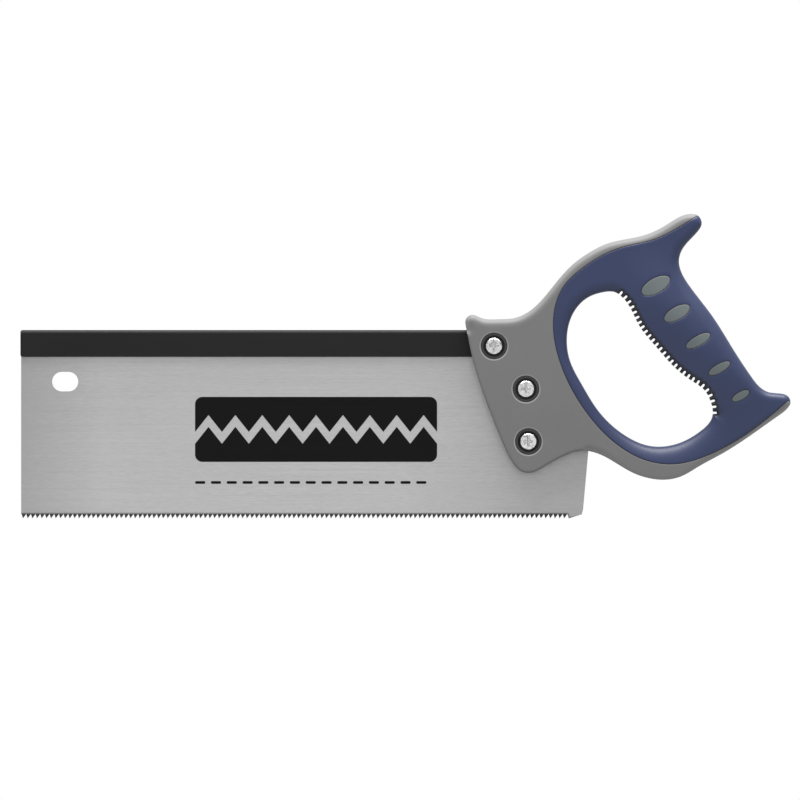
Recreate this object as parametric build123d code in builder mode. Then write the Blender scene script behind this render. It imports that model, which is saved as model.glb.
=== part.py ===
from build123d import *
from math import atan2, cos, degrees, hypot, radians, sin
import os

# Back saw (tenon saw): a thin toothed blade, a folded steel back pressed over its top
# edge, and a pistol-grip handle of hard plastic with a soft overmoulded grip. Three
# screws and three sleeve nuts clamp the handle on the blade, and the top pair also
# passes through the back.
#
# Frame: +X from the toe to the handle, +Z from the teeth to the back, Y across the
# blade. The origin is under the middle of the saw, on the line of the tooth tips, in
# the blade's mid-plane. The screw heads face -Y and the sleeve nuts +Y.

# ---------------------------------------------------------------- driving dimensions
# Blade
blade_thickness = 0.85
teeth_per_inch = 10
tooth_pitch = 25.4 / teeth_per_inch
tooth_depth = 2.4
tooth_rake = 0.3  # where along its pitch each tooth's tip stands
tooth_count = 118
toe_x = -209.3
toe_margin = 0.25  # plain steel between the toe and the first tooth
hang_hole_centre = (-185.3, 74.5)
hang_hole_length = 14.2
hang_hole_height = 10.6
# The plain heel, then the edge that the handle hides. It keeps clear of the hand hole
# and ends behind the top screw.
heel_points = [(96.0, 2.2), (96.7, 5.0), (99.5, 36.0), (97.5, 46.0), (75.0, 92.0), (66.0, 99.2)]

# Folded back
back_toe_x = -209.7
back_heel_x = 62.0
back_bottom_z = 88.0
back_height = 14.6
back_width = 4.85
back_bend_radius = 2.0
back_edge_radius = 0.3
back_corner_radius = 1.2
fold_depth = 11.2  # how far the blade's top edge reaches up into the fold

# Handle
cheek_half = 9.5  # half the thickness of the flat cheeks and of the ring
silhouette_round = 2.2
hand_hole_round = 4.0
swell_centre = (157.5, 99.2)
swell_angle = -52.3  # slope of the grip's axis, degrees from +X
swell_peak = 14.0  # half the thickness at the crown of the grip
swell_across = (-11.0, 10.0)  # the swell's edges, across the grip's axis
swell_along = 56.0  # half the swell's length, along the grip's axis
web_half = 6.0  # half the thickness of the hard web under the soft plastic
skin = 4.0  # soft plastic round the web's edges
fit_gap = 0.15  # round the blade and the back inside the handle, on each side

# Finger ribs on the grip
rib_pitch = 3.1
rib_margin = 1.2  # from each end of the rib line to the first groove
groove_depth = 2.4
groove_width = 1.2

# Screws, sleeve nuts and their dished washers
screw_places = {"top": (48.2, 93.9), "middle": (65.6, 70.5), "bottom": (66.9, 41.9)}
recess_radius = 7.25
recess_depth = 3.4
washer_radius = 7.1
washer_height = 3.3
washer_lip = 1.3
washer_floor = 1.0
head_radius = 4.75
head_height = 2.3
head_round = 1.3
drive_length = 5.0  # of the cross recess and of the nut's slot
drive_width = 1.2
drive_depth = 1.5
drive_taper = 12.0
shank_radius = 2.0
shank_length = 12.0
shank_gap = 0.2  # round the shank in its washer
sleeve_radius = 3.5
sleeve_gap = 0.1  # round the sleeve in the blade, the back, the handle and its washer
sleeve_length = 12.2
sleeve_bore_depth = 10.6

reach = 40.0  # more than any half thickness, for cuts that go right through

# ---------------------------------------------------------------- outlines, in X and Z
# The handle's silhouette, clockwise from the tip at its top front.
handle_points = [
    (33.4, 109.4), (36.0, 110.9), (41.5, 109.1), (49.8, 108.5), (59.2, 109.1), (66.3, 112.1),
    (79.2, 125.0), (91.0, 138.3), (100.5, 145.1), (109.9, 149.7), (127.7, 153.6), (135.9, 156.5),
    (143.0, 160.5), (154.4, 165.8), (159.4, 164.8), (161.3, 160.9), (159.0, 156.1), (150.4, 145.9),
    (148.9, 140.4), (150.1, 134.4), (153.7, 128.0), (166.6, 110.9), (180.8, 88.4), (187.9, 77.8),
    (192.6, 71.9), (197.3, 68.9), (204.4, 68.0), (208.4, 66.4), (209.7, 63.4), (208.3, 60.3),
    (203.2, 56.0), (171.4, 34.7), (159.5, 28.2), (150.1, 22.9), (141.8, 21.1), (133.6, 21.7),
    (124.1, 24.7), (105.3, 35.1), (99.3, 36.7), (94.0, 36.7), (88.7, 35.1), (74.5, 27.6),
    (68.6, 24.9), (63.5, 25.4), (59.2, 29.2), (52.9, 41.2), (40.2, 74.3), (35.6, 90.8),
    (32.8, 104.9),
]
# The tips of the finger ribs, from the top of the hand hole down.
rib_points = [
    (115.6, 122.4), (121.4, 116.3), (126.8, 105.7), (136.5, 93.3), (144.8, 83.9), (155.1, 75.4),
    (163.1, 69.4), (166.0, 64.0), (167.0, 55.4),
]
# The smooth rest of the hand hole, from the last rib round to the first.
knuckle_points = [
    (160.1, 47.2), (147.6, 40.6), (133.7, 39.4), (119.1, 45.5), (104.1, 59.8), (96.0, 73.0),
    (89.5, 86.1), (87.9, 98.6), (91.0, 111.1), (99.2, 120.2), (107.8, 123.2),
]
# The seam between the hard and the soft plastic, from the upper horn to the lower one.
seam_points = [
    (158.6, 164.8), (150.8, 159.7), (144.7, 156.2), (138.6, 153.2), (130.6, 150.6), (119.4, 148.1),
    (108.6, 144.0), (97.0, 136.8), (85.2, 125.0), (80.4, 107.0), (84.2, 84.6), (99.3, 56.5),
    (117.0, 38.8), (132.0, 31.2), (148.9, 29.7), (164.3, 34.1), (189.1, 48.3), (207.9, 63.6),
]
# The web's edge under the soft plastic at the back of the grip, from horn to horn.
web_back_points = [
    (156.6, 160.2), (147.4, 149.2), (144.9, 140.4), (146.3, 132.2), (163.2, 108.5), (177.3, 86.0),
    (185.0, 74.6), (191.6, 67.6), (202.6, 63.2),
]


def hand_hole_outline():
    Spline(*rib_points, *knuckle_points, periodic=True)


def web_hole_outline():
    """The hole in the web: the hand hole's points, each moved out by the skin."""
    points = rib_points + knuckle_points
    grown = []
    for number, (x, z) in enumerate(points):
        before, after = points[number - 1], points[(number + 1) % len(points)]
        run, rise = after[0] - before[0], after[1] - before[1]
        outward = skin / hypot(run, rise)
        grown.append((x - rise * outward, z + run * outward))
    Spline(*grown, periodic=True)


def soft_zone_outline():
    """The seam, closed outside the handle past the back of the grip."""
    seam = Spline(*seam_points)
    Polyline(seam @ 1, (225.0, 66.0), (225.0, 175.0), (166.0, 175.0), seam @ 0)


def window_ellipses():
    """The five windows that show the hard plastic, each smaller than the one above."""
    sizes = [(17.5, 8.3), (15.8, 7.1), (15.1, 5.6), (13.4, 5.0), (10.7, 4.5)]
    first_x, first_z = 136.3, 126.7
    step_x, step_z = 11.55, -15.0
    tilt = 29.0
    for number, (length, width) in enumerate(sizes):
        with Locations((first_x + number * step_x, first_z + number * step_z)):
            Ellipse(length / 2, width / 2, rotation=tilt)


# ---------------------------------------------------------------- blade
blade_top_z = back_bottom_z + fold_depth

with BuildPart() as blade:
    with BuildSketch(Plane.XZ):
        with BuildLine():
            edge_points = [(toe_x, blade_top_z), (toe_x, tooth_depth)]
            for tooth in range(tooth_count):
                gullet_x = toe_x + toe_margin + tooth * tooth_pitch
                edge_points.append((gullet_x, tooth_depth))
                edge_points.append((gullet_x + tooth_rake * tooth_pitch, 0.0))
            Polyline(*edge_points, *heel_points, close=True)
        make_face()
        with Locations(hang_hole_centre):
            SlotOverall(hang_hole_length, hang_hole_height, mode=Mode.SUBTRACT)
        with Locations(*screw_places.values()):
            Circle(sleeve_radius + sleeve_gap, mode=Mode.SUBTRACT)
    extrude(amount=blade_thickness / 2, both=True)

blade.part.label = "blade"

# ---------------------------------------------------------------- folded back
with BuildPart() as folded_back:
    with BuildSketch(Plane.YZ.offset(back_toe_x)) as back_section:
        with Locations((0, back_bottom_z + back_height / 2)):
            Rectangle(back_width, back_height)
        fillet(back_section.vertices().group_by(Axis.Y)[-1], back_bend_radius)
        fillet(back_section.vertices().group_by(Axis.Y)[0], back_edge_radius)
        with Locations((0, back_bottom_z + fold_depth / 2)):
            Rectangle(blade_thickness, fold_depth, mode=Mode.SUBTRACT)
    extrude(amount=back_heel_x - back_toe_x)
    # The toe end's top and bottom corners, seen from the side, are slightly rounded.
    with BuildSketch(Plane.XZ) as back_side:
        with Locations(((back_toe_x + back_heel_x) / 2, back_bottom_z + back_height / 2)):
            Rectangle(back_heel_x - back_toe_x, back_height)
        fillet(back_side.vertices().group_by(Axis.X)[0], back_corner_radius)
    extrude(amount=reach, both=True, mode=Mode.INTERSECT)
    with BuildSketch(Plane.XZ):
        with Locations(screw_places["top"]):
            Circle(sleeve_radius + sleeve_gap)
    extrude(amount=reach, both=True, mode=Mode.SUBTRACT)

folded_back.part.label = "folded_back"

# ---------------------------------------------------------------- the handle's outer form
# The whole handle as one body: a plate with rounded edges and, on the grip, a swell
# that is an arc both across the grip and along it. The hard core and the soft grip are
# both taken from this form, so that their surfaces run on from one to the other.
grip_axis = Vector(cos(radians(swell_angle)), 0, sin(radians(swell_angle)))
across_axis = Vector(-grip_axis.Z, 0, grip_axis.X)
swell_origin = Vector(swell_centre[0], 0, swell_centre[1])
section_plane = Plane(origin=swell_origin, x_dir=across_axis, z_dir=grip_axis)
profile_plane = Plane(origin=swell_origin, x_dir=grip_axis, z_dir=across_axis)

with BuildPart() as swell:
    with BuildSketch(section_plane):
        with BuildLine():
            low, high = swell_across
            ThreePointArc((low, cheek_half), ((low + high) / 2, swell_peak), (high, cheek_half))
            Line((high, cheek_half), (high, 0))
            Line((low, 0), (low, cheek_half))
            mirror(about=Plane.XZ)
        make_face()
    extrude(amount=swell_along, both=True)
    with BuildSketch(profile_plane):
        with BuildLine():
            ThreePointArc((-swell_along, cheek_half), (0, swell_peak), (swell_along, cheek_half))
            Line((swell_along, cheek_half), (swell_along, 0))
            Line((-swell_along, 0), (-swell_along, cheek_half))
            mirror(about=Plane.XZ)
        make_face()
    extrude(amount=swell_along, both=True, mode=Mode.INTERSECT)

with BuildPart() as handle_form:
    with BuildSketch(Plane.XZ):
        with BuildLine():
            Spline(*handle_points, periodic=True)
        make_face()
        with BuildLine():
            hand_hole_outline()
        make_face(mode=Mode.SUBTRACT)
    extrude(amount=cheek_half, both=True)
    rims = handle_form.faces().filter_by(Axis.Y).edges().sort_by(SortBy.LENGTH)
    fillet(rims[2:], silhouette_round)
    rims = handle_form.faces().filter_by(Axis.Y).edges().sort_by(SortBy.LENGTH)
    fillet(rims[:2], hand_hole_round)
    add(swell.part)



# ---------------------------------------------------------------- handle core
# The hard plastic: the cheeks and the rim at full thickness, a thinner web that the
# soft plastic is moulded round, and the bosses that fill the soft plastic's windows.
with BuildPart() as window_bosses:
    with BuildSketch(Plane.XZ):
        window_ellipses()
    extrude(amount=reach, both=True)
    add(handle_form.part, mode=Mode.INTERSECT)

with BuildPart() as handle_web:
    with BuildSketch(Plane.XZ):
        with BuildLine():
            seam = Spline(*seam_points)
            Line(seam @ 1, web_back_points[-1])
            Spline(*web_back_points)
            Line(web_back_points[0], seam @ 0)
        make_face()
    extrude(amount=web_half, both=True)
    with BuildSketch(Plane.XZ):
        with BuildLine():
            web_hole_outline()
        make_face()
    extrude(amount=reach, both=True, mode=Mode.SUBTRACT)

recess_floor_y = cheek_half - recess_depth
screw_floor = Plane(origin=(0, -recess_floor_y, 0), x_dir=(1, 0, 0), z_dir=(0, -1, 0))
nut_floor = Plane(origin=(0, recess_floor_y, 0), x_dir=(-1, 0, 0), z_dir=(0, 1, 0))

with BuildPart() as handle_core:
    add(handle_form.part)
    with BuildSketch(Plane.XZ):
        with BuildLine():
            soft_zone_outline()
        make_face()
    extrude(amount=reach, both=True, mode=Mode.SUBTRACT)
    add(handle_web.part)
    add(window_bosses.part)
    # The blade's slot and the back's pocket, both open at the front of the cheeks.
    with BuildSketch(Plane.XZ):
        with BuildLine():
            slot_top_z = blade_top_z + fit_gap
            hidden_edge = [(x + 2 * fit_gap, z) for x, z in heel_points[1:-1]]
            Polyline(
                (0, 0), *hidden_edge, (heel_points[-1][0], slot_top_z), (0, slot_top_z), close=True
            )
        make_face()
    extrude(amount=blade_thickness / 2 + fit_gap, both=True, mode=Mode.SUBTRACT)
    with BuildSketch(Plane.XZ):
        with Locations((back_heel_x + fit_gap, back_bottom_z - fit_gap)):
            Rectangle(reach, back_height + 2 * fit_gap, align=(Align.MAX, Align.MIN))
    extrude(amount=back_width / 2 + fit_gap, both=True, mode=Mode.SUBTRACT)
    # Each screw's bore, and a round recess for its washer in each cheek.
    with BuildSketch(Plane.XZ):
        with Locations(*screw_places.values()):
            Circle(sleeve_radius + sleeve_gap)
    extrude(amount=reach, both=True, mode=Mode.SUBTRACT)
    for floor_plane, mirrored in ((screw_floor, 1), (nut_floor, -1)):
        with BuildSketch(floor_plane):
            with Locations(*[(mirrored * x, z) for x, z in screw_places.values()]):
                Circle(recess_radius)
        extrude(amount=reach, mode=Mode.SUBTRACT)

handle_core.part.label = "handle_core"

# ---------------------------------------------------------------- grip overmould
with BuildPart() as grip_overmould:
    add(handle_form.part)
    with BuildSketch(Plane.XZ):
        with BuildLine():
            soft_zone_outline()
        make_face()
    extrude(amount=reach, both=True, mode=Mode.INTERSECT)
    add(handle_web.part, mode=Mode.SUBTRACT)
    add(window_bosses.part, mode=Mode.SUBTRACT)
    # Grooves square to the edge of the hand hole leave the finger ribs between them.
    rib_line = Spline(*rib_points, mode=Mode.PRIVATE)
    groove_count = int((rib_line.length - 2 * rib_margin) // rib_pitch) + 1
    with BuildSketch(Plane.XZ):
        for number in range(groove_count):
            along = (rib_margin + number * rib_pitch) / rib_line.length
            mouth, direction = rib_line @ along, rib_line % along
            turn = degrees(atan2(direction.Y, direction.X)) + 90
            with Locations((mouth.X, mouth.Y)):
                SlotOverall(2 * groove_depth, groove_width, rotation=turn)
    extrude(amount=reach, both=True, mode=Mode.SUBTRACT)

grip_overmould.part.label = "grip_overmould"

# ---------------------------------------------------------------- screws and sleeve nuts
# At each place: a dished washer in each cheek's recess, a pan-head screw from the -Y
# side with a cross recess, and a slotted sleeve nut from the +Y side that reaches
# through the blade. All heads lie just under the cheeks.
fasteners = []

for place, (screw_x, screw_z) in screw_places.items():
    screw_seat = screw_floor.offset(washer_floor)
    nut_seat = nut_floor.offset(washer_floor)
    screw_at = (screw_x, screw_z)
    nut_at = (-screw_x, screw_z)

    for washer_name, floor_plane, washer_at, washer_hole in (
        ("screw_washer", screw_floor, screw_at, shank_radius + shank_gap),
        ("nut_washer", nut_floor, nut_at, sleeve_radius + sleeve_gap),
    ):
        with BuildPart() as washer:
            with BuildSketch(floor_plane):
                with Locations(washer_at):
                    Circle(washer_radius)
            extrude(amount=washer_height)
            with BuildSketch(floor_plane.offset(washer_floor)):
                with Locations(washer_at):
                    Circle(washer_radius - washer_lip)
            extrude(amount=washer_height, mode=Mode.SUBTRACT)
            with BuildSketch(floor_plane):
                with Locations(washer_at):
                    Circle(washer_hole)
            extrude(amount=washer_height, mode=Mode.SUBTRACT)
        washer.part.label = f"{place}_{washer_name}"
        fasteners.append(washer.part)

    with BuildPart() as screw:
        with BuildSketch(screw_seat):
            with Locations(screw_at):
                Circle(head_radius)
        extrude(amount=head_height)
        fillet(screw.faces().sort_by(Axis.Y)[0].edges(), head_round)
        with BuildSketch(screw_seat.offset(head_height)):
            with Locations(screw_at):
                Rectangle(drive_length, drive_width)
                Rectangle(drive_width, drive_length)
        extrude(amount=-drive_depth, taper=drive_taper, mode=Mode.SUBTRACT)
        with BuildSketch(screw_seat):
            with Locations(screw_at):
                Circle(shank_radius)
        extrude(amount=-shank_length)
    screw.part.label = f"{place}_screw"
    fasteners.append(screw.part)

    with BuildPart() as sleeve_nut:
        with BuildSketch(nut_seat):
            with Locations(nut_at):
                Circle(head_radius)
        extrude(amount=head_height)
        fillet(sleeve_nut.faces().sort_by(Axis.Y)[-1].edges(), head_round)
        with BuildSketch(nut_seat.offset(head_height)):
            with Locations(nut_at):
                Rectangle(2 * head_radius, drive_width)
        extrude(amount=-drive_depth, mode=Mode.SUBTRACT)
        with BuildSketch(nut_seat):
            with Locations(nut_at):
                Circle(sleeve_radius)
        extrude(amount=-sleeve_length)
        with BuildSketch(nut_seat.offset(-sleeve_length)):
            with Locations(nut_at):
                Circle(shank_radius)
        extrude(amount=sleeve_bore_depth, mode=Mode.SUBTRACT)
    sleeve_nut.part.label = f"{place}_sleeve_nut"
    fasteners.append(sleeve_nut.part)

# ---------------------------------------------------------------- export
os.makedirs("parts", exist_ok=True)
for piece in [blade.part, folded_back.part, handle_core.part, grip_overmould.part, *fasteners]:
    export_step(piece, f"parts/{piece.label}.step")
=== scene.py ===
import math

import bmesh
import bpy
import numpy as np
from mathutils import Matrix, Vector
from mathutils.geometry import delaunay_2d_cdt


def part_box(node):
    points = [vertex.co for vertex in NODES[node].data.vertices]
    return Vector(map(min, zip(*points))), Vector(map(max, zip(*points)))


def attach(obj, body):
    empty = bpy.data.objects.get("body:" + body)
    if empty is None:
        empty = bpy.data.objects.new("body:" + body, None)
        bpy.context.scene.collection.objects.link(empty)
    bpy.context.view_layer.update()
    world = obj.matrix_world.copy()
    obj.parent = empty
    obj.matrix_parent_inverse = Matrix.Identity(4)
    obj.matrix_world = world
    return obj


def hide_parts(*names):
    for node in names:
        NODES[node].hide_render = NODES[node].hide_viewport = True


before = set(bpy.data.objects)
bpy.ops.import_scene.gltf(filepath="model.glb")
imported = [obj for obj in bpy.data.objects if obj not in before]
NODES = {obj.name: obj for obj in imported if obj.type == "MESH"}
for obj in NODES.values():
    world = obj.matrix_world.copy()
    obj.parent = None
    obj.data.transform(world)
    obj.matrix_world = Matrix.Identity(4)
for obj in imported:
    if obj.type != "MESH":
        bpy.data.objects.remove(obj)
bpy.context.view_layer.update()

# Outlines and nets are worked in millimetres and become metres when a mesh is made.
MM = 0.001

WASHER_DEPTH = 0.1  # how far the washers lie under the cheeks' faces
CHEEK_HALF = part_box("middle_nut_washer")[1].y / MM + WASHER_DEPTH
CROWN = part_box("grip_overmould")[1].y / MM - CHEEK_HALF
BLADE_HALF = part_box("blade")[1].y / MM
BACK_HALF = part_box("folded_back")[1].y / MM

WELD = 0.002 * MM  # points of a CAD mesh that are this near are one point
ON_PLANE = 1e-7
SLIVER = 5  # a loop with no more points than this is left out
LEAST_POINTS = 12  # of an outline
BATCH = 300  # how many points are measured at a time
TINY = 1e-12

# A net's rows and grid, where a share is of the row's depth or the grid's pitch.
CELL = 0.15  # at most one point of a net stands in a square of this size
PROBE = 0.02  # how far from an outline its inner side is looked for
ROW_CLEAR = 0.93
GRID_CLEAR = 0.7
GRID_RISE = 0.87  # rows of equal-sided triangles

# What a mesh tells its material at each point, and the numbers of the axes.
# The first mark is painted light: a painted highlight along the core's rim and round the
# washers' recesses, and painted shade along the grip's seam and round its windows; on the blade
# it marks the ground tips, with a painted highlight on the bevels that face the front.
# The second mark is painted shade at the ribs, along the core's seam and at the bosses' edges.
MARKS = ("painted_light_and_grinding", "painted_shade", "boss")
PAINTED_LIGHT_AND_GRINDING, PAINTED_SHADE, BOSS = range(3)
X, Z = 0, 2


# ------------------------------------------------------------------ outlines from the CAD
def outlines(node, depth):
    """The closed outlines, as (x, z) rows, where the plane Y = depth cuts a CAD node,
    the largest first."""
    cut = bmesh.new()
    cut.from_mesh(NODES[node].data)
    bmesh.ops.remove_doubles(cut, verts=cut.verts, dist=WELD)
    everything = cut.verts[:] + cut.edges[:] + cut.faces[:]
    found = bmesh.ops.bisect_plane(
        cut, geom=everything, dist=ON_PLANE, plane_co=(0, depth * MM, 0), plane_no=(0, 1, 0)
    )
    neighbours = {}
    for edge in found["geom_cut"]:
        if isinstance(edge, bmesh.types.BMEdge):
            first, second = edge.verts
            neighbours.setdefault(first, []).append(second)
            neighbours.setdefault(second, []).append(first)
    loops = []
    unused = set(neighbours)
    while unused:
        start = min(unused, key=lambda v: (v.co.x, v.co.z))
        loop, at = [start], start
        unused.discard(start)
        while True:
            onward = [v for v in neighbours[at] if v in unused]
            if not onward:
                break
            at = min(onward, key=lambda v: (v.co.z, v.co.x))
            unused.discard(at)
            loop.append(at)
        if len(loop) > SLIVER:
            loops.append(np.array([(v.co.x / MM, v.co.z / MM) for v in loop]))
    cut.free()
    return sorted(loops, key=lambda loop: -abs(area(loop)))


def area(loop):
    """The area inside an outline, negative where it runs clockwise."""
    x, z = loop[:, 0], loop[:, 1]
    return 0.5 * float(np.sum(x * np.roll(z, -1) - np.roll(x, -1) * z))


def even(loop, step):
    """The same closed outline, anticlockwise, with its points a step apart."""
    if area(loop) < 0:
        loop = loop[::-1]
    closed = np.vstack([loop, loop[:1]])
    run = np.concatenate([[0], np.cumsum(np.linalg.norm(np.diff(closed, axis=0), axis=1))])
    count = max(LEAST_POINTS, int(round(run[-1] / step)))
    at = np.linspace(0, run[-1], count, endpoint=False)
    return np.column_stack([np.interp(at, run, closed[:, k]) for k in (0, 1)])


def segments(*loops):
    """Every side of the outlines, as rows of (x, z, next x, next z)."""
    return np.vstack([np.hstack([loop, np.roll(loop, -1, axis=0)]) for loop in loops])


def in_batches(points, work):
    batches = np.array_split(points, len(points) // BATCH + 1)
    return np.concatenate([work(some) for some in batches])


def distance(points, sides):
    """How far each point is from the nearest side."""
    start, along = sides[:, :2], sides[:, 2:] - sides[:, :2]
    squared = np.maximum((along**2).sum(1), TINY)

    def work(some):
        offset = some[:, None, :] - start[None]
        share = np.clip((offset * along[None]).sum(2) / squared, 0, 1)
        gap = offset - share[..., None] * along[None]
        return np.sqrt((gap**2).sum(2).min(1))

    return in_batches(np.asarray(points), work)


def snap(points, sides, within):
    """The points, with each that is nearly on a side moved to its nearest place there."""
    start, along = sides[:, :2], sides[:, 2:] - sides[:, :2]
    squared = np.maximum((along**2).sum(1), TINY)
    moved = points.copy()
    for number, point in enumerate(points):
        share = np.clip(((point - start) * along).sum(1) / squared, 0, 1)
        places = start + share[:, None] * along
        gaps = np.linalg.norm(places - point, axis=1)
        if gaps.min() < within:
            moved[number] = places[gaps.argmin()]
    return moved


def inside(points, sides):
    """True where a point is inside the outlines, with the inner ones as holes."""
    x0, z0, x1, z1 = sides.T
    rise = np.where(z1 == z0, TINY, z1 - z0)

    def work(some):
        x, z = some[:, :1], some[:, 1:]
        crosses = ((z0 > z) != (z1 > z)) & (x < (x1 - x0) * (z - z0) / rise + x0)
        return crosses.sum(1) % 2 == 1

    return in_batches(np.asarray(points), work)


def ease(value, start, end):
    """0 before start, 1 after end, and a smooth step between them."""
    t = np.clip((value - start) / (end - start), 0, 1)
    return t * t * (3 - 2 * t)


def fade(depth, start, end, most):
    """The most up to the start depth in from an edge, and 0 from the end depth on."""
    return most * (1 - ease(depth, start, end))


def edge_drop(depth, width, height):
    """How far a rounded edge has fallen, at a depth in from it."""
    left = np.clip((width - depth) / width, 0, 1)
    return height * (1 - np.sqrt(1 - left**2))


# ------------------------------------------------------------------ nets and plates
def plate_net(loops, depths, pitch, extra=()):
    """A triangle net inside the outlines: their own points, rows of points at the depths
    given for each outline, and a grid between them."""
    sides = segments(*loops)
    points = [tuple(p) for loop in loops for p in loop]
    taken = {(round(x / CELL), round(z / CELL)) for x, z in points}

    def place(candidates, least):
        keep = inside(candidates, sides) & (distance(candidates, sides) > least)
        for x, z in candidates[keep]:
            cell = (round(x / CELL), round(z / CELL))
            if cell not in taken:
                taken.add(cell)
                points.append((x, z))

    for loop, rows in zip(loops, depths):
        run = np.roll(loop, -1, axis=0) - np.roll(loop, 1, axis=0)
        normal = np.column_stack([-run[:, 1], run[:, 0]]) / np.linalg.norm(run, axis=1)[:, None]
        if inside(loop + PROBE * normal, sides).mean() < 0.5:
            normal = -normal
        for depth in rows:
            place(loop + depth * normal, ROW_CLEAR * depth)
    if pitch:
        low, high = sides[:, :2].min(0), sides[:, :2].max(0)
        for number, z in enumerate(np.arange(low[1], high[1], pitch * GRID_RISE)):
            xs = np.arange(low[0] + (number % 2) * pitch / 2, high[0], pitch)
            place(np.column_stack([xs, np.full(len(xs), z)]), GRID_CLEAR * pitch)

    edges, start = list(extra), 0
    for loop in loops:
        count = len(loop)
        edges += [(start + i, start + (i + 1) % count) for i in range(count)]
        start += count
    made = delaunay_2d_cdt([Vector(p) for p in points], edges, [], 0, 1e-5, False)
    net = np.array([(v.x, v.y) for v in made[0]])
    triangles = np.array([list(f) for f in made[2]])
    triangles = triangles[inside(net[triangles].mean(1), sides)]
    corner = net[triangles]
    first, second = corner[:, 1] - corner[:, 0], corner[:, 2] - corner[:, 0]
    turned = first[:, 0] * second[:, 1] - first[:, 1] * second[:, 0] < 0
    triangles[turned] = triangles[turned][:, ::-1]
    return net, triangles


class Shell:
    """The vertices, faces and marks of plates, each with a front and a back face."""

    def __init__(self):
        self.verts, self.faces, self.marks = [], [], []

    def plate(self, net, triangles, front, back, wall=None, marks=None):
        """front and back give Y at each net point. wall(point, inward) gives the
        points, as (x, y, z), between them down the edge."""
        base, count = len(self.verts), len(net)
        marks = np.zeros((count, len(MARKS))) if marks is None else marks
        for y in (front, back):
            self.verts += [(p[0], d, p[1]) for p, d in zip(net, y)]
            self.marks += [tuple(m) for m in marks]
        self.faces += [tuple(t + base) for t in triangles]
        self.faces += [tuple(t[::-1] + base + count) for t in triangles]
        sides = {(t[i], t[(i + 1) % 3]) for t in triangles for i in range(3)}
        rim = sorted((a, b) for a, b in sides if (b, a) not in sides)
        inward = {}
        for a, b in rim:
            along = (net[b] - net[a]) / max(np.linalg.norm(net[b] - net[a]), 1e-9)
            for v in (a, b):
                inward[v] = inward.get(v, 0) + np.array([-along[1], along[0]])
        chains = {}
        for v, way in inward.items():
            way = way / max(np.linalg.norm(way), 1e-9)
            between = wall(net[v], way) if wall else []
            start = len(self.verts)
            self.verts += between
            self.marks += [tuple(marks[v])] * len(between)
            chains[v] = [v + base, *range(start, start + len(between)), v + base + count]
        for a, b in rim:
            first, second = chains[a], chains[b]
            for i in range(len(first) - 1):
                self.faces.append((second[i], first[i], first[i + 1], second[i + 1]))

    def piece(self, name, material, slot, replaced=(), angle=38):
        used = sorted({v for face in self.faces for v in face})
        number = {v: i for i, v in enumerate(used)}
        mesh = bpy.data.meshes.new(name)
        places = [tuple(c * MM for c in self.verts[v]) for v in used]
        mesh.from_pydata(places, [], [[number[v] for v in face] for face in self.faces])
        for column, mark in enumerate(MARKS):
            layer = mesh.attributes.new(mark, "FLOAT", "POINT")
            layer.data.foreach_set("value", [float(self.marks[v][column]) for v in used])
        mesh.shade_smooth()
        mesh.set_sharp_from_angle(angle=math.radians(angle))
        mesh.materials.append(material)
        piece = bpy.data.objects.new(name, mesh)
        bpy.context.scene.collection.objects.link(piece)
        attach(piece, "root")
        if replaced:
            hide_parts(*replaced)


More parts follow.
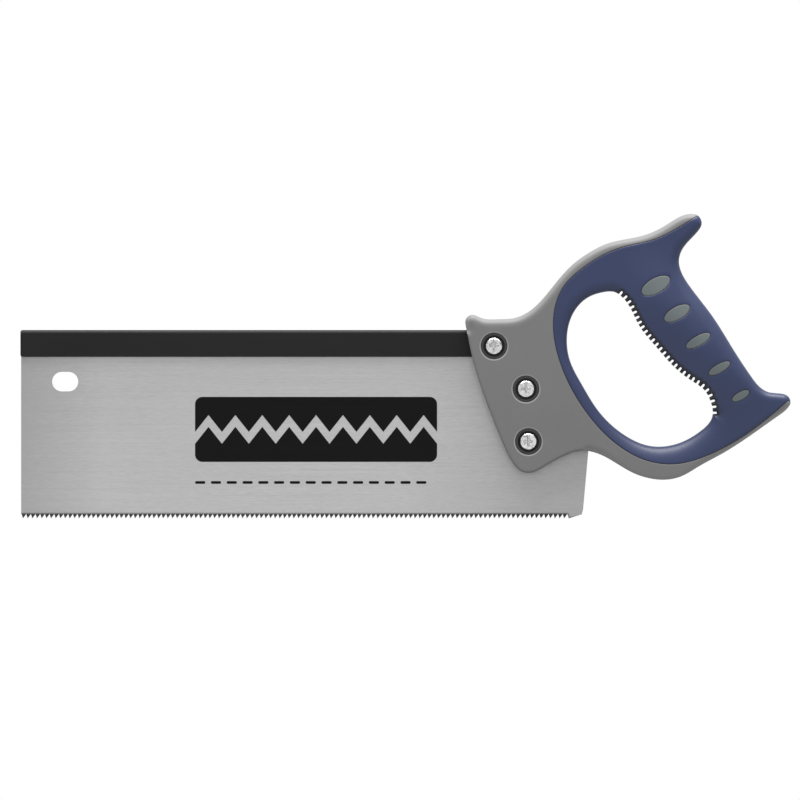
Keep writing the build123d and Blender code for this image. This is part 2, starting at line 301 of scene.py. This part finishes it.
# ------------------------------------------------------------------ materials
class Look:
    """A procedural material: a Principled shader and the nodes that feed it."""

    def __init__(self, name, **values):
        self.material = bpy.data.materials.new(name)
        self.material.use_nodes = True
        self.tree = self.material.node_tree
        self.shader = self.tree.nodes["Principled BSDF"]
        for socket, value in values.items():
            self.shader.inputs[socket.replace("_", " ")].default_value = value
        self.place = self.tree.nodes.new("ShaderNodeTexCoord").outputs["Object"]

    def add(self, kind, links=(), **settings):
        """A new node, with a link or a value for each socket that is given."""
        node = self.tree.nodes.new(kind)
        for key, value in settings.items():
            setattr(node, key, value)
        for socket, source in dict(links).items():
            if hasattr(source, "links"):
                self.tree.links.new(source, node.inputs[socket])
            else:
                node.inputs[socket].default_value = source
        return node

    def noise(self, stretch, detail=3.0, roughness=0.55, distortion=0.0):
        """Noise with this many features a metre along X, Y and Z."""
        scaled = self.add("ShaderNodeMapping", {"Vector": self.place, "Scale": stretch})
        sockets = {
            "Vector": scaled.outputs[0], "Scale": 1.0, "Detail": detail,
            "Roughness": roughness, "Distortion": distortion,
        }
        return self.add("ShaderNodeTexNoise", sockets).outputs["Fac"]

    def cells(self, per_metre):
        """The distance from the middles of cells, with this many cells a metre."""
        scaled = self.add("ShaderNodeMapping", {"Vector": self.place, "Scale": (per_metre,) * 3})
        sockets = {"Vector": scaled.outputs[0], "Scale": 1.0}
        return self.add("ShaderNodeTexVoronoi", sockets).outputs["Distance"]

    def along(self, axis):
        """The place along an axis, in metres."""
        return self.add("ShaderNodeSeparateXYZ", {0: self.place}).outputs[axis]

    def ramp(self, source, low, high, first, last):
        """A number that goes from first to last as the source goes from low to high."""
        sockets = {0: source, 1: low, 2: high, 3: first, 4: last}
        return self.add("ShaderNodeMapRange", sockets).outputs[0]

    def mark(self, name):
        """A piece's mark, from 0 to 1, as its mesh carries it."""
        return self.add("ShaderNodeAttribute", attribute_name=name).outputs["Fac"]

    def join(self, first, second, operation="ADD"):
        """The sum of two numbers, or what another operation makes of them."""
        return self.add("ShaderNodeMath", {0: first, 1: second}, operation=operation).outputs[0]

    def blend(self, share, first, second):
        """The first colour, with this share of the second mixed in."""
        sockets = {0: share, 6: first, 7: second}
        return self.add("ShaderNodeMix", sockets, data_type="RGBA").outputs[2]

    def finish(self, colour, roughness, height, distance):
        """Links the colour, the roughness and a bump, with its distance in millimetres."""
        bump = self.add("ShaderNodeBump", {"Height": height, "Distance": distance * MM})
        self.tree.links.new(colour, self.shader.inputs["Base Color"])
        self.tree.links.new(roughness, self.shader.inputs["Roughness"])
        self.tree.links.new(bump.outputs[0], self.shader.inputs["Normal"])
        return self.material


def shade(*display):
    """A display colour, 0 to 255, as linear RGBA by the sRGB curve."""
    linear = [((c / 255 + 0.055) / 1.055) ** 2.4 if c > 10 else c / 3295 for c in display]
    return (*linear, 1.0)


def grey(level):
    return shade(level, level, level)


# Where the steel changes, in metres: painted shade, darker to the toe along X and to the heel,
# and hardened up to a height on the teeth, as far as the end of their row.
TOE_PAINTED_SHADE = (-0.215, -0.165)
HEEL_PAINTED_SHADE = (0.0, 0.09)
HARDENED_HEIGHT = (0.0023, 0.0034)
HARDENED_END = (0.088, 0.0895)


def steel_look():
    look = Look("Blade steel", Metallic=0.85, Specular_IOR_Level=0.5)
    streaks = look.noise((9, 60, 2600), detail=4, roughness=0.7)
    broad = look.noise((3.5, 20, 30), detail=2)
    grain = look.noise((260, 900, 5200), detail=2)
    scratch = look.ramp(look.noise((16, 60, 900), detail=5, roughness=0.8), 0.70, 0.76, 0, 1)
    tone = look.blend(streaks, grey(150), grey(181))
    tone = look.blend(look.ramp(broad, 0.3, 0.7, 0, 0.25), tone, grey(144))
    tone = look.blend(look.ramp(grain, 0.35, 0.65, 0, 0.16), tone, grey(214))
    tone = look.blend(look.join(scratch, 0.3, "MULTIPLY"), tone, grey(104))
    # Painted shade: the steel is darker towards the toe and towards the heel.
    toe = look.ramp(look.along(X), *TOE_PAINTED_SHADE, 0.5, 0)
    heel = look.ramp(look.along(X), *HEEL_PAINTED_SHADE, 0, 0.35)
    tone = look.blend(look.join(toe, heel), tone, grey(124))
    # The teeth are dark from hardening, and bright again where they are ground, with a painted
    # highlight on the ground bevels that face the front.
    hardened = look.ramp(look.along(Z), *HARDENED_HEIGHT, 0.92, 0)
    in_row = look.ramp(look.along(X), *HARDENED_END, 1, 0)
    hardened = look.join(hardened, in_row, "MULTIPLY")
    tone = look.blend(hardened, tone, shade(22, 22, 23))
    tone = look.blend(look.mark("painted_light_and_grinding"), tone, grey(178))
    rough = look.ramp(streaks, 0.2, 0.8, 0.34, 0.46)
    return look.finish(tone, rough, look.join(streaks, grain), 0.012)


def paint_look():
    look = Look("Back paint", Specular_IOR_Level=0.12)
    peel = look.noise((700, 700, 700), detail=2)
    broad = look.noise((14, 60, 60), detail=3)
    rub = look.ramp(look.noise((120, 900, 900), detail=5, roughness=0.75), 0.66, 0.74, 0, 0.3)
    tone = look.blend(broad, grey(19), grey(26))
    tone = look.blend(rub, tone, shade(40, 40, 41))
    return look.finish(tone, look.ramp(peel, 0.3, 0.7, 0.38, 0.5), peel, 0.02)


def hard_look():
    look = Look("Hard plastic", Specular_IOR_Level=0.25)
    grain = look.cells(2100)
    fine = look.noise((3800, 3800, 3800), detail=2)
    cloud = look.noise((28, 28, 28), detail=4)
    tone = look.blend(cloud, grey(84), grey(92))
    tone = look.blend(look.ramp(fine, 0.35, 0.65, 0, 0.2), tone, grey(104))
    # Painted highlight along the core's rim and round the washers' recesses.
    tone = look.blend(look.mark("painted_light_and_grinding"), tone, grey(150))
    # Painted shade along the seam and at the bosses' edges.
    tone = look.blend(look.mark("painted_shade"), tone, shade(40, 40, 42))
    tone = look.blend(look.mark("boss"), tone, shade(78, 84, 85))
    rough = look.ramp(fine, 0.3, 0.7, 0.46, 0.58)
    return look.finish(tone, rough, look.join(grain, fine), 0.012)


def soft_look():
    look = Look("Soft grip", Specular_IOR_Level=0.38, Sheen_Weight=0.05, Sheen_Roughness=0.5)
    grain = look.cells(1500)
    fine = look.noise((3000, 3000, 3000), detail=2)
    cloud = look.noise((22, 22, 22), detail=4)
    tone = look.blend(cloud, shade(22, 32, 62), shade(29, 40, 72))
    tone = look.blend(look.ramp(grain, 0.1, 0.6, 0.22, 0), tone, shade(26, 33, 56))
    # Painted shade along the seam and round the windows.
    tone = look.blend(look.mark("painted_light_and_grinding"), tone, shade(18, 22, 42))
    # Painted shade at the ribs.
    tone = look.blend(look.mark("painted_shade"), tone, shade(6, 9, 24))
    rough = look.ramp(fine, 0.3, 0.7, 0.38, 0.5)
    return look.finish(tone, rough, look.join(grain, fine), 0.02)


def zinc_look():
    look = Look("Bright zinc", Metallic=1.0)
    lines = look.noise((420, 420, 420), detail=6, roughness=0.8, distortion=1.6)
    pits = look.ramp(look.noise((1500, 1500, 1500), detail=3), 0.62, 0.68, 0, 0.5)
    tone = look.blend(look.ramp(lines, 0.4, 0.5, 0, 1), shade(112, 112, 113), grey(218))
    tone = look.blend(pits, tone, shade(70, 70, 72))
    return look.finish(tone, look.ramp(lines, 0.3, 0.7, 0.42, 0.2), lines, 0.12)


def washer_look():
    look = Look("Washer plastic", Specular_IOR_Level=0.25)
    grain = look.cells(2400)
    cloud = look.noise((300, 300, 300), detail=4)
    tone = look.blend(cloud, grey(30), grey(46))
    return look.finish(tone, look.ramp(cloud, 0.3, 0.7, 0.4, 0.55), grain, 0.015)


def print_look():
    look = Look("Blade print", Specular_IOR_Level=0.08)
    grain = look.noise((900, 900, 900), detail=3)
    streaks = look.noise((9, 60, 2600), detail=4, roughness=0.7)
    tone = look.blend(look.ramp(streaks, 0.3, 0.8, 0, 0.3), grey(6), grey(20))
    return look.finish(tone, look.ramp(grain, 0.3, 0.7, 0.42, 0.55), grain, 0.01)


def floor_look():
    look = Look("Floor", Specular_IOR_Level=0.1)
    cloud = look.noise((3, 3, 3), detail=3)
    tone = look.blend(cloud, grey(160), grey(166))
    return look.finish(tone, look.ramp(cloud, 0.3, 0.7, 0.8, 0.9), cloud, 0.05)


STEEL, PAINT, HARD, SOFT = steel_look(), paint_look(), hard_look(), soft_look()
ZINC, WASHER, PRINT = zinc_look(), washer_look(), print_look()

# ------------------------------------------------------------------ the handle
PLASTIC_CUT = 7.0  # a plane at this depth cuts the rim, the seam and the windows
OUTLINE_STEP = 0.8
HOLE_STEP = 0.36
ROUND_STEP = 0.5  # for the washers' recesses and the windows
SCREW_NEAR = 1.0
SEAM_SNAP = 0.3  # the core's points that are this near the grip's outline move on to it
SEAM_NEAR = 0.5

core_cut = outlines("handle_core", -PLASTIC_CUT)
grip_cut = outlines("grip_overmould", -PLASTIC_CUT)
core_edge = even(core_cut[0], OUTLINE_STEP)
grip_edge = even(grip_cut[0], OUTLINE_STEP)
hole_edge = even(max(outlines("grip_overmould", 0.0), key=len), HOLE_STEP)
screw_names = ("top", "middle", "bottom")
screw_centres = [sum(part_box(f"{s}_screw"), Vector()).xz / 2 / MM for s in screw_names]
screw_centres = np.array([tuple(c) for c in screw_centres])


def near_screw(loop):
    return np.linalg.norm(screw_centres - loop.mean(0), axis=1).min() < SCREW_NEAR


recesses = [even(loop, ROUND_STEP) for loop in core_cut[1:] if near_screw(loop)]
windows = [even(loop, ROUND_STEP) for loop in core_cut[1:] if not near_screw(loop)]
windows.sort(key=lambda loop: loop.mean(0)[0])

grip_sides = segments(grip_edge)
core_edge = snap(core_edge, grip_sides, SEAM_SNAP)
core_sides = segments(core_edge)
core_middles = (core_sides[:, :2] + core_sides[:, 2:]) / 2
grip_middles = (grip_sides[:, :2] + grip_sides[:, 2:]) / 2
core_at_seam = distance(core_middles, grip_sides) < SEAM_NEAR
grip_at_seam = distance(grip_middles, core_sides) < SEAM_NEAR
seam_sides = core_sides[core_at_seam]

# The cheeks' front and lower edges where the blade and the back come out.
blade_cut = outlines("blade", 0.0)
blade_sides = segments(blade_cut[0])
back_low, back_high = (np.array(corner.xz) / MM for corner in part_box("folded_back"))


def within_back(points):
    return ((points > back_low) & (points < back_high)).all(1)


def over_blade(points):
    return inside(points, blade_sides) | within_back(points)


core_over_blade = over_blade(core_middles) & ~core_at_seam
front_sides = core_sides[core_over_blade]
rim_sides = np.vstack([core_sides[~core_at_seam & ~core_over_blade], grip_sides[~grip_at_seam]])

# The ribbed part of the hand hole's edge is where its line is much longer than its span.
# The points that are ribbed are then evened out by a vote among their neighbours.
REACH = 16  # points each way along the edge
RIBBED_SHARE = 0.62
VOTERS = 6  # each way
span = np.linalg.norm(np.roll(hole_edge, -REACH, 0) - np.roll(hole_edge, REACH, 0), axis=1)
ribbed = span < RIBBED_SHARE * 2 * REACH * HOLE_STEP
ribbed = np.r_[ribbed[-VOTERS:], ribbed, ribbed[:VOTERS]]
ribbed = np.convolve(ribbed, np.ones(2 * VOTERS + 1), "valid") > VOTERS
hole_sides = segments(hole_edge)
rib_sides, plain_sides = hole_sides[ribbed], hole_sides[~ribbed]

# The crown's line runs down the middles of the windows.
CROWN_SHIFT = 3.0
middles = np.array([loop.mean(0) for loop in windows])
grip_line = (middles[-1] - middles[0]) / np.linalg.norm(middles[-1] - middles[0])
grip_across = np.array([-grip_line[1], grip_line[0]])
grip_middle = middles.mean(0) - CROWN_SHIFT * grip_line

# Where the crown and the palm's rounder rim fade out, from the crown's middle.
CROWN_ACROSS, CROWN_ALONG = (0, 23), (4, 66)
PALM_ACROSS, PALM_ALONG = (24, 40), (20, 55)
UNDER_HEIGHTS = (22, 52)  # the rim is sharper below these heights
RING_HEIGHTS = (38, 66)  # the grip's ring is rounder below these, under the hand hole

# Roundings, as the width and the height of the edge that they take away.
RIM_ROUND, RIM_AT_PALM, RIM_UNDER = (4.2, 3.6), (3.5, 1.2), (1.9, 1.6)
HOLE_ROUND, HOLE_AT_RING = (5.6, 3.8), (6.0, 2.2)
RIB_ROUND = (2.2, 2.0)
FRONT_ROUND = (1.2, 0.8)
SEAM_SOFT, SEAM_HARD = (1.1, 0.45), (0.5, 0.18)
RECESS_ROUND, BOSS_ROUND, WINDOW_ROUND = (0.5, 0.35), (0.5, 0.3), (0.6, 0.3)
BLEND_POWER = 3  # roundings that meet add up in this power, so that they blend
BOSS_DEPTH = 0.05

# Marks along edges, as the depths where they start to fade and end, and their most.
# These marks are painted light: a painted highlight along the core's rim and round its recesses,
# and painted shade along the seam, round the windows, at the ribs and at the bosses' edges.
RIM_PAINTED_HIGHLIGHT, GRIP_SEAM_PAINTED_SHADE = (0.6, 3.0, 0.25), (0.1, 0.5, 0.8)
RECESS_PAINTED_HIGHLIGHT, WINDOW_PAINTED_SHADE = (0.25, 0.7, 0.6), (0.1, 0.45, 0.8)
RIBS_PAINTED_SHADE, CORE_SEAM_PAINTED_SHADE, BOSS_PAINTED_SHADE = (1.0, 2.0, 1), (0.05, 0.4, 0.5), (0.05, 0.4, 0.7)
BOSS_TINT = (0.2, 0.5)


def surface(points, soft):
    """Half the handle's thickness at each point, and the marks for its material."""
    along = (points - grip_middle) @ grip_line
    across = (points - grip_middle) @ grip_across
    crown = fade(np.abs(across), *CROWN_ACROSS, CROWN) * fade(np.abs(along), *CROWN_ALONG, 1)
    palm = fade(np.abs(along), *PALM_ALONG, 1) * fade(np.abs(across), *PALM_ACROSS, 1)
    to_rim = distance(points, rim_sides)
    to_front = distance(points, front_sides)
    to_seam = distance(points, seam_sides)
    under = fade(points[:, 1], *UNDER_HEIGHTS, 1) * (1 - palm)
    rim_size = [
        plain + more * palm - less * under
        for plain, more, less in zip(RIM_ROUND, RIM_AT_PALM, RIM_UNDER)
    ]
    drop = np.maximum(edge_drop(to_rim, *rim_size), edge_drop(to_front, *FRONT_ROUND))
    if soft:
        to_ribs = distance(points, rib_sides)
        to_hole = distance(points, plain_sides)
        in_ring = fade(points[:, 1], *RING_HEIGHTS, 1)
        hole_size = [plain + more * in_ring for plain, more in zip(HOLE_ROUND, HOLE_AT_RING)]
        drops = (drop, edge_drop(to_hole, *hole_size), edge_drop(to_ribs, *RIB_ROUND))
        drop = sum(each**BLEND_POWER for each in drops) ** (1 / BLEND_POWER)
        drop = drop + edge_drop(to_seam, *SEAM_SOFT)
        # Painted shade along the seam.
        painted_light_and_grinding = fade(to_seam, *GRIP_SEAM_PAINTED_SHADE)
        # Painted shade at the ribs.
        painted_shade = fade(to_ribs, *RIBS_PAINTED_SHADE)
    else:
        drop = drop + edge_drop(to_seam, *SEAM_HARD)
        # Painted highlight along the rim.
        painted_light_and_grinding = fade(to_rim, *RIM_PAINTED_HIGHLIGHT)
        # Painted shade along the seam.
        painted_shade = fade(to_seam, *CORE_SEAM_PAINTED_SHADE)
    return CHEEK_HALF + crown - drop, np.column_stack([painted_light_and_grinding, painted_shade, np.zeros(len(points))])


RIM_ROWS = (0.12, 0.4, 0.8, 1.4, 2.1, 3.0, 4.2, 5.8)
HOLE_ROWS = (0.12, 0.4, 0.8, 1.4, 2.2, 3.2, 4.6, 6.2, 8.0)
ROUND_ROWS = (0.15, 0.45, 0.9)
WINDOW_ROWS = (0.15, 0.45)
CORE_PITCH, BOSS_PITCH, GRIP_PITCH = 1.9, 1.6, 1.7
CLEARANCE = 0.15  # of the blade and the back in the handle, on each side
SLOT_DEPTH = 3.0
SLOT_HALF = BLADE_HALF + CLEARANCE
POCKET_HALF = BACK_HALF + CLEARANCE
RECESS_DEPTH = 3.4
RECESS_FLOOR = CHEEK_HALF - RECESS_DEPTH
RECESS_REACH = 8.0  # a wall within this radius of a screw belongs to its recess
BORE_RADIUS = 3.6
SLOT_CLEAR = 1  # the slot stays this far from the seam


def core_wall(point, inward):
    """The edge of the cheeks: a washer's recess, or a wall with the blade's slot."""
    offsets = point - screw_centres
    nearest = np.linalg.norm(offsets, axis=1).argmin()
    radius = np.linalg.norm(offsets[nearest])
    if radius < RECESS_REACH:
        half = RECESS_FLOOR
        inner = screw_centres[nearest] + offsets[nearest] * BORE_RADIUS / radius
    else:
        spot = point[None]
        slotted = over_blade(spot)[0] and distance(spot, seam_sides)[0] > SLOT_CLEAR
        half = POCKET_HALF if within_back(spot)[0] else SLOT_HALF
        inner = point + (SLOT_DEPTH if slotted else 0.0) * inward
    return [
        (point[0], -half, point[1]), (inner[0], -half, inner[1]),
        (inner[0], half, inner[1]), (point[0], half, point[1]),
    ]


core = Shell()
net, triangles = plate_net(
    [core_edge, *recesses], [RIM_ROWS, *[ROUND_ROWS] * len(recesses)], CORE_PITCH
)
half, marks = surface(net, soft=False)
to_recess = distance(net, segments(*recesses))
half = half - edge_drop(to_recess, *RECESS_ROUND)
# Painted highlight round the washers' recesses.
marks[:, PAINTED_LIGHT_AND_GRINDING] = np.maximum(marks[:, PAINTED_LIGHT_AND_GRINDING], fade(to_recess, *RECESS_PAINTED_HIGHLIGHT))
core.plate(net, triangles, -half, half, core_wall, marks)
for loop in windows:
    net, triangles = plate_net([loop], [ROUND_ROWS], BOSS_PITCH)
    half, marks = surface(net, soft=True)
    to_edge = distance(net, segments(loop))
    half = half - BOSS_DEPTH - edge_drop(to_edge, *BOSS_ROUND)
    marks[:, PAINTED_LIGHT_AND_GRINDING] = 0
    # Painted shade at the bosses' edges.
    marks[:, PAINTED_SHADE] = fade(to_edge, *BOSS_PAINTED_SHADE)
    marks[:, BOSS] = ease(to_edge, *BOSS_TINT)
    core.plate(net, triangles, -half, half, None, marks)
core.piece("handle_core_moulding", HARD, "hard_plastic", ["handle_core"])

grip = Shell()
grip_rows = [RIM_ROWS, HOLE_ROWS, *[WINDOW_ROWS] * len(windows)]
net, triangles = plate_net([grip_edge, hole_edge, *windows], grip_rows, GRIP_PITCH)
half, marks = surface(net, soft=True)
to_window = distance(net, segments(*windows))
half = half - edge_drop(to_window, *WINDOW_ROUND)
# Painted shade round the windows.
marks[:, PAINTED_LIGHT_AND_GRINDING] = np.maximum(marks[:, PAINTED_LIGHT_AND_GRINDING], fade(to_window, *WINDOW_PAINTED_SHADE))
grip.plate(net, triangles, -half, half, None, marks)
grip.piece("grip_moulding", SOFT, "soft_grip", ["grip_overmould"])

# ------------------------------------------------------------------ the blade
TOOTH_SET = 0.2  # how far the tips lean out, to alternate sides
TOOTH_BEVEL = 0.6  # how much of the thickness is ground off at a tip
TIPS_BELOW, ROOTS_BELOW = 1.0, 4.0  # heights
# The bevels on the front are painted much brighter than those on the back, as a painted
# highlight.
GROUND_AND_HIGHLIGHT_NEAR, GROUND_AND_HIGHLIGHT_FAR = 0.75, 0.1  # how bright the bevels are, on each side's teeth
BEVEL_ANGLE = 9  # creases sharper than this, in degrees, are kept
edge = blade_cut[0] if area(blade_cut[0]) > 0 else blade_cut[0][::-1]
z_here, z_before, z_after = edge[:, 1], np.roll(edge[:, 1], 1), np.roll(edge[:, 1], -1)
tips = np.flatnonzero((z_here < TIPS_BELOW) & (z_here < z_before) & (z_here < z_after))
roots = np.flatnonzero((z_here < ROOTS_BELOW) & (z_here > z_before) & (z_here > z_after))
tooth_lines = [(int(a), int(b)) for a, b in zip(roots[:-1], roots[1:])]
net, triangles = plate_net([edge, *blade_cut[1:]], [()] * len(blade_cut), 0, tooth_lines)
front = np.full(len(net), -BLADE_HALF)
back = np.full(len(net), BLADE_HALF)
ground_and_highlight = np.zeros((len(net), len(MARKS)))
for number, tip in enumerate(sorted(tips, key=lambda i: edge[i, 0])):
    here = np.linalg.norm(net - edge[tip], axis=1).argmin()
    ground_and_highlight[here, PAINTED_LIGHT_AND_GRINDING] = GROUND_AND_HIGHLIGHT_NEAR if number % 2 else GROUND_AND_HIGHLIGHT_FAR
    if number % 2:
        front[here] += TOOTH_BEVEL + TOOTH_SET
        back[here] += TOOTH_SET
    else:
        front[here] -= TOOTH_SET
        back[here] -= TOOTH_BEVEL + TOOTH_SET
blade = Shell()
blade.plate(net, triangles, front, back, marks=ground_and_highlight)
blade.piece("toothed_blade", STEEL, "blade_steel", ["blade"], BEVEL_ANGLE)

# ------------------------------------------------------------------ the print
# A plain panel with a saw-tooth line left out of it, and a row of dashes below.
PRINT_LOW, PRINT_HIGH = (-114.6, 30.8), (17.2, 66.2)
PANEL_RADIUS = 4.0
LINE_TEETH, LINE_RISE, LINE_HALF = 9, 4.6, 3.2
DASH_Z, DASH_HALF, DASH_LONG, DASH_GAP = 19.6, 0.75, 5.6, 3.0
DASH_SLACK = 0.1  # the last dash may end this far past the panel
ARC_POINTS = 9
INK_ABOVE, INK_BELOW = 0.03, 0.05  # the ink's faces, above and below the blade's face


def zigzag(low_x, high_x, z):
    xs = np.linspace(low_x, high_x, 2 * LINE_TEETH + 1)
    return [(x, z + (LINE_RISE if i % 2 else -LINE_RISE)) for i, x in enumerate(xs)]


def corner_arc(centre, radius, start):
    """A quarter of a circle, anticlockwise from the start angle."""
    turns = np.radians(np.linspace(start, start + 90, ARC_POINTS))
    return [(centre[0] + radius * math.cos(t), centre[1] + radius * math.sin(t)) for t in turns]


def print_shapes():
    (x0, z0), (x1, z1) = PRINT_LOW, PRINT_HIGH
    middle, radius = (z0 + z1) / 2, PANEL_RADIUS
    upper = zigzag(x0, x1, middle + LINE_HALF)
    upper += corner_arc((x1 - radius, z1 - radius), radius, 0)
    upper += corner_arc((x0 + radius, z1 - radius), radius, 90)
    lower = zigzag(x0, x1, middle - LINE_HALF)[::-1]
    lower += corner_arc((x0 + radius, z0 + radius), radius, 180)
    lower += corner_arc((x1 - radius, z0 + radius), radius, 270)
    shapes = [np.array(upper), np.array(lower)]
    for x in np.arange(x0, x1 - DASH_LONG + DASH_SLACK, DASH_LONG + DASH_GAP):
        right, left = (x + DASH_LONG - DASH_HALF, DASH_Z), (x + DASH_HALF, DASH_Z)
        dash = corner_arc(right, DASH_HALF, -90) + corner_arc(right, DASH_HALF, 0)[1:]
        dash += corner_arc(left, DASH_HALF, 90) + corner_arc(left, DASH_HALF, 180)[1:]
        shapes.append(np.array(dash))
    return shapes


ink = Shell()
for shape in print_shapes():
    net, triangles = plate_net([shape], [()], 0)
    flat = np.ones(len(net))
    ink_face, ink_foot = BLADE_HALF + INK_ABOVE, BLADE_HALF - INK_BELOW
    ink.plate(net, triangles, -flat * ink_face, -flat * ink_foot)
ink.piece("blade_print", PRINT, "back_paint")

# ------------------------------------------------------------------ carried-over CAD nodes
for name, node in NODES.items():
    look = ZINC
    if name == "folded_back":
        look = PAINT
    elif name.endswith("washer"):
        look = WASHER
    for material_slot in node.material_slots:
        material_slot.material = look

# ------------------------------------------------------------------ floor, light, camera
# From here on, in metres.
FLOOR_HALF = 6.0
WORLD_STRENGTH = 1.0
CAMERA_SPAN = 0.4356
CAMERA_PLACE = (-0.003, -1.5, 0.0645)

floor_mesh = bpy.data.meshes.new("floor")
floor_corners = [(-1, -1), (1, -1), (1, 1), (-1, 1)]
floor_mesh.from_pydata(
    [(x * FLOOR_HALF, y * FLOOR_HALF, 0) for x, y in floor_corners], [], [(0, 1, 2, 3)]
)
floor_mesh.materials.append(floor_look())
floor = bpy.data.objects.new("floor", floor_mesh)
bpy.context.scene.collection.objects.link(floor)

world = bpy.data.worlds.new("Studio")
bpy.context.scene.world = world
world.use_nodes = True
background = world.node_tree.nodes["Background"]
background.inputs["Color"].default_value = (1, 1, 1, 1)
background.inputs["Strength"].default_value = WORLD_STRENGTH
bpy.context.scene.view_settings.view_transform = "Standard"


def soft_box(name, place, aim, width, height, power):
    """A rectangular lamp that faces the aim, in metres and watts."""
    light = bpy.data.lights.new(name, "AREA")
    light.shape = "RECTANGLE"
    light.size, light.size_y, light.energy = width, height, power
    lamp = bpy.data.objects.new(name, light)
    lamp.location = place
    lamp.rotation_mode = "QUATERNION"
    lamp.rotation_quaternion = (Vector(aim) - Vector(place)).to_track_quat("-Z", "Y")
    bpy.context.scene.collection.objects.link(lamp)


soft_box("top_box", (0.08, -0.30, 1.1), (0.0, 0.0, 0.08), width=1.3, height=0.5, power=34)

camera = bpy.data.objects.new("camera", bpy.data.cameras.new("camera"))
camera.data.type = "ORTHO"
camera.data.ortho_scale = CAMERA_SPAN
camera.location = CAMERA_PLACE
camera.rotation_euler = (math.radians(90), 0, 0)
bpy.context.scene.collection.objects.link(camera)
bpy.context.scene.camera = camera
